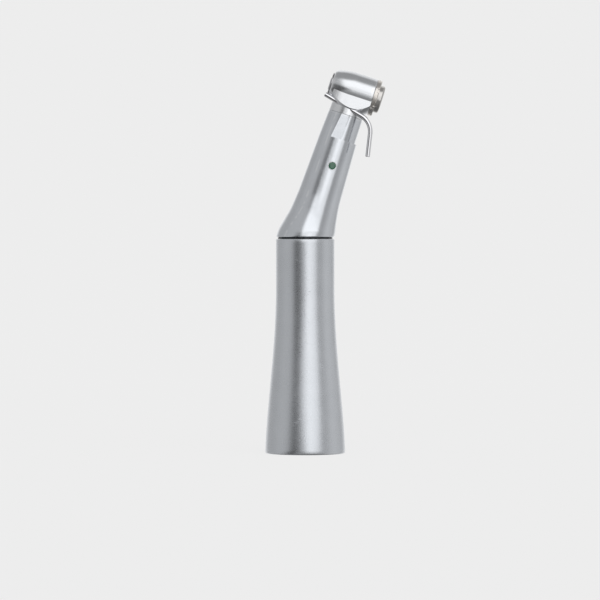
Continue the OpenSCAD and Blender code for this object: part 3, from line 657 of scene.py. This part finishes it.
def make_button():
    """Push button with a faintly domed, rounded face."""
    top, r = -7.6, 3.57
    face = [(0, top), (1.2, top + 0.004), (2.2, top + 0.02), (2.85, top + 0.05), (3.15, top + 0.1),
            (3.36, top + 0.18), (3.49, top + 0.32), (3.56, top + 0.5), (r, top + 0.7)]
    inside = [(r, -5.65), (4.05, -5.65), (4.05, -5.3), (3.35, -5.3), (3.35, -6.95), (2.9, -6.95), (2.9, -6.4),
              (2.0, -6.4), (2.0, -6.95), (0, -6.95)]
    piece = revolve("push_button_skin", face + inside, HEAD_FRAME, 160)
    # the button's darker warm colour is painted reflection
    dress(piece, "push_button", BUTTON_PAINTED_REFLECTION, "polished_steel", "push_button")


def make_front_ring():
    """Ring round the bur bore, with four spanner slots."""
    profile = rounded([(1.95, 5.06), (2.98, 5.06), (2.98, 6.05), (2.83, 6.2), (2.1, 6.2), (1.95, 6.05)],
                      {2: 0.05, 3: 0.05, 4: 0.05, 5: 0.05}, 3)
    floor_z, half_slot = 5.9, 0.26

    def slotted(r, z, a):
        from_slot = abs(a % math.radians(90) - math.radians(45))
        return (r, floor_z) if z > floor_z and from_slot * r < half_slot else (r, z)

    piece = revolve("front_ring_skin", profile, HEAD_FRAME, 240, warp=slotted)
    # the ring's dark colour is painted reflection; the ring itself is turned steel
    dress(piece, "housing", RING_PAINTED_DARK_REFLECTION, "turned_steel", "front_ring")


def make_tube():
    """Outside irrigation tube: a nozzle that points in towards the bur, a bend, a leg beside the neck."""
    tip, corner, end = Vector((-7.43, 0, -0.84)), Vector((4.46, 0, -7.92)), Vector((3.47, 0, -16.7))
    bend_r, outer_r, inner_r, swing_deg = 4.6, 0.6, 0.4, 11.4
    first, last = (corner - tip).normalized(), (end - corner).normalized()
    turn = first.angle(last)
    tangent = bend_r * math.tan(turn / 2)
    start, finish = corner - first * tangent, corner + last * tangent
    inward = Vector((first.z, 0, -first.x))
    if inward.dot(last) < 0:
        inward = -inward
    centre = start + inward * bend_r
    path = [tip.lerp(start, k / 10) for k in range(10)]
    for k in range(17):
        a = turn * k / 16
        path.append(centre - inward * bend_r * math.cos(a) + first * bend_r * math.sin(a))
    path += [finish.lerp(end, k / 8) for k in range(1, 9)]
    hose_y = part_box("irrigation_tube")[0].y + outer_r * MM
    swing = Matrix.Rotation(math.radians(swing_deg), 4, last)
    place = Matrix.Translation(Vector((HEAD.x, hose_y, HEAD.z))) @ Matrix.Scale(MM, 4)
    place = place @ Matrix.Translation(corner) @ swing @ Matrix.Translation(-corner)
    rings = pipe_rings(path, outer_r, inner_r)
    piece = loft("irrigation_tube_skin", [[place @ p for p in ring] for ring in rings], capped=False)
    dress(piece, "housing", POLISHED, "polished_steel", "irrigation_tube")


# ---------------------------------------------------------------- springs
def make_coil(name, mean, wire, turns, low, high, body, node):
    """Round-wire spring from station low to high on the bur axis."""
    steps = turns * 40
    lead = high - low - 2 * wire
    points = []
    for k in range(steps + 1):
        t = k / steps
        along = min(1, max(0, t + 0.06 * math.sin(2 * math.pi * t)))
        a = 2 * math.pi * turns * t
        points.append(Vector((mean * math.cos(a), mean * math.sin(a), low + wire + lead * along)))
    rings = []
    for i, p in enumerate(points):
        ahead = (points[min(i + 1, steps)] - points[max(i - 1, 0)]).normalized()
        u = Vector((p.x, p.y, 0)).normalized()
        v = ahead.cross(u).normalized()
        rings.append([HEAD_FRAME @ (p + (u * math.cos(b) + v * math.sin(b)) * wire)
                      for b in (2 * math.pi * j / 12 for j in range(12))])
    piece = loft(name, rings)
    dress(piece, body, SPRING, "spring_steel", node)
    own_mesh(piece)


make_handle()
make_seam_ring()
make_neck()
make_dot()
make_head()
make_cap()
make_button()
make_front_ring()
make_tube()
make_coil("button_spring_wire", 3.7, 0.11, 3, -5.28, -4.07, "housing", "button_spring")
make_coil("sleeve_spring_wire", 2.66, 0.1, 4, -6.0, -4.24, "spindle", "sleeve_spring")


# ---------------------------------------------------------------- stage
PAPER = 0.839                                  # brightness of the backdrop
VIEW_WIDTH = 151.9                             # millimetres across the picture at the handle's axis
VIEW_AIM = Vector((-1.31, 0, 38.83)) * MM
VIEW_FROM = Vector((VIEW_AIM.x, -1.0, 0.054))


def make_floor():
    """Seamless paper sweep: flat under the handpiece, then curving up behind it."""
    half, back, radius, height = 1.6, 0.5, 0.35, 1.6
    bm = bmesh.new()
    run = [(-1.2, 0.0), (0.0, 0.0), (back, 0.0)]
    run += [(back + radius * math.sin(math.radians(a)), radius * (1 - math.cos(math.radians(a))))
            for a in range(6, 91, 6)]
    run += [(back + radius, height)]
    rows = [[bm.verts.new((x, y, z)) for x in (-half, half)] for y, z in run]
    for low, high in zip(rows, rows[1:]):
        bm.faces.new((low[0], low[1], high[1], high[0]))
    floor = link("floor", bm)
    n = Nodes("pale_floor")
    matt = n.add("BsdfDiffuse", Roughness=0.6)
    matt.inputs["Color"].default_value = (0.5, 0.5, 0.5, 1)
    glow = n.add("Emission", Strength=1.0)
    glow.inputs["Color"].default_value = (*[PAPER * 1.07] * 3, 1)
    mix = n.add("MixShader")
    mix.inputs[0].default_value = 0.9
    n.join(matt.outputs[0], mix.inputs[1])
    n.join(glow.outputs[0], mix.inputs[2])
    n.join(mix.outputs[0], n.out.inputs["Surface"])
    floor.data.materials.append(n.material)
    floor.location.z = CAD_BOX[0][2] - 0.00002
    floor.visible_glossy = False


def make_world():
    """Soft studio surround: a big soft light above and right of the camera, a dark gap to its left."""
    world = bpy.data.worlds.new("studio")
    bpy.context.scene.world = world
    world.use_nodes = True
    tree = world.node_tree
    tree.nodes.clear()
    new, join = tree.nodes.new, tree.links.new

    def maths(operation, a, b=0.0, c=0.0):
        node = new("ShaderNodeMath")
        node.operation = operation
        for socket, value in zip(node.inputs, (a, b, c)):
            if isinstance(value, (int, float)):
                socket.default_value = value
            else:
                join(value, socket)
        return node.outputs[0]

    def step(value, low, high):
        node = new("ShaderNodeMapRange")
        node.interpolation_type = "SMOOTHSTEP"
        join(value, node.inputs["Value"])
        node.inputs["From Min"].default_value = low
        node.inputs["From Max"].default_value = high
        return node.outputs["Result"]

    def fall(value, low, high):
        return maths("SUBTRACT", 1.0, step(value, low, high))

    def times(*factors):
        out = factors[0]
        for factor in factors[1:]:
            out = maths("MULTIPLY", out, factor)
        return out

    def blend(amount, a, b):
        """a where amount is 0, b where it is 1."""
        return maths("ADD", times(maths("SUBTRACT", 1.0, amount), a), times(amount, b))

    def clamp(value, low, high):
        return maths("MINIMUM", maths("MAXIMUM", value, low), high)

    split = new("ShaderNodeSeparateXYZ")
    join(new("ShaderNodeTexCoord").outputs["Generated"], split.inputs[0])
    x, y, z = split.outputs
    # degrees round from the camera, + to its right, and degrees above the horizon
    turn = maths("DEGREES", maths("ARCTAN2", x, maths("MULTIPLY", y, -1.0)))
    rise = maths("DEGREES", maths("ARCSINE", z))

    around = new("ShaderNodeValToRGB")
    around.color_ramp.interpolation = "EASE"
    stops = ((-180, 1.10), (-156, 0.98), (-136, 0.55), (-112, 0.54), (-78, 0.61), (-50, 0.62), (0, 0.50),
             (56, 0.50), (90, 0.74), (112, 0.68), (136, 0.58), (156, 0.98), (180, 1.10))
    elements = around.color_ramp.elements
    while len(elements) < len(stops):
        elements.new(0.5)
    for element, (degrees, level) in zip(elements, stops):
        element.position = degrees / 360 + 0.5
        element.color = (level, level, level, 1)
    join(maths("MULTIPLY_ADD", turn, 1 / 360, 0.5), around.inputs[0])
    base = around.outputs[0]

    # the light's left edge leans, most of all between 7 and 11 degrees above the horizon
    lean = maths("MULTIPLY_ADD", clamp(rise, 0.0, 7.0), 0.85, -2.0)
    lean = maths("ADD", lean, times(clamp(maths("SUBTRACT", rise, 6.6), 0.0, 4.5), 3.1))
    left = maths("ADD", turn, lean)
    right = maths("SUBTRACT", maths("MULTIPLY_ADD", rise, 0.3, 42.0), turn)
    light = times(step(left, -8.0, 8.0), step(right, -8.0, 6.0),
                  step(rise, -20.0, -8.0), fall(rise, 50.0, 66.0))
    level = maths("MULTIPLY_ADD", step(rise, 10.0, 26.0), 0.30, 1.22)
    core = times(step(turn, -4.0, 8.0), fall(turn, 16.0, 30.0),
                 fall(rise, 4.0, 14.0), step(rise, -14.0, -4.0))
    level = maths("MULTIPLY_ADD", core, 0.26, level)
    low = maths("SUBTRACT", turn, clamp(rise, -20.0, 0.0))
    gap = times(step(low, -55.0, -33.0), fall(low, -19.0, -6.0),
                fall(rise, 8.0, 26.0), step(rise, -60.0, -30.0))
    apron = times(fall(maths("ABSOLUTE", turn), 35.0, 60.0), fall(rise, -16.0, -5.0))
    base = times(base, maths("MULTIPLY_ADD", gap, -0.78, 1.0), maths("MULTIPLY_ADD", apron, -0.35, 1.0))
    base = blend(step(rise, 45.0, 70.0), base, 0.42)
    base = blend(fall(rise, -60.0, -25.0), base, 0.22)
    total = blend(light, base, level)

    lit = new("ShaderNodeBackground")
    join(total, lit.inputs["Color"])
    paper = new("ShaderNodeBackground")
    paper.inputs["Color"].default_value = (*[PAPER] * 3, 1)
    eye = new("ShaderNodeLightPath").outputs["Is Camera Ray"]
    choose = new("ShaderNodeMixShader")
    join(eye, choose.inputs[0])
    join(lit.outputs[0], choose.inputs[1])
    join(paper.outputs[0], choose.inputs[2])
    join(choose.outputs[0], new("ShaderNodeOutputWorld").inputs["Surface"])


def make_camera():
    """Camera a metre in front and a little above, with a long lens, as in a product picture."""
    camera = bpy.data.cameras.new("camera")
    camera.sensor_width = 36
    camera.lens = camera.sensor_width * abs(VIEW_FROM.y) / (VIEW_WIDTH * MM)
    camera.clip_start = 0.01
    eye = bpy.data.objects.new("camera", camera)
    eye.location = VIEW_FROM
    eye.rotation_euler = (VIEW_AIM - VIEW_FROM).to_track_quat("-Z", "Y").to_euler()
    bpy.context.scene.collection.objects.link(eye)
    bpy.context.scene.camera = eye


make_floor()
make_world()
make_camera()
bpy.context.scene.view_settings.view_transform = "Standard"
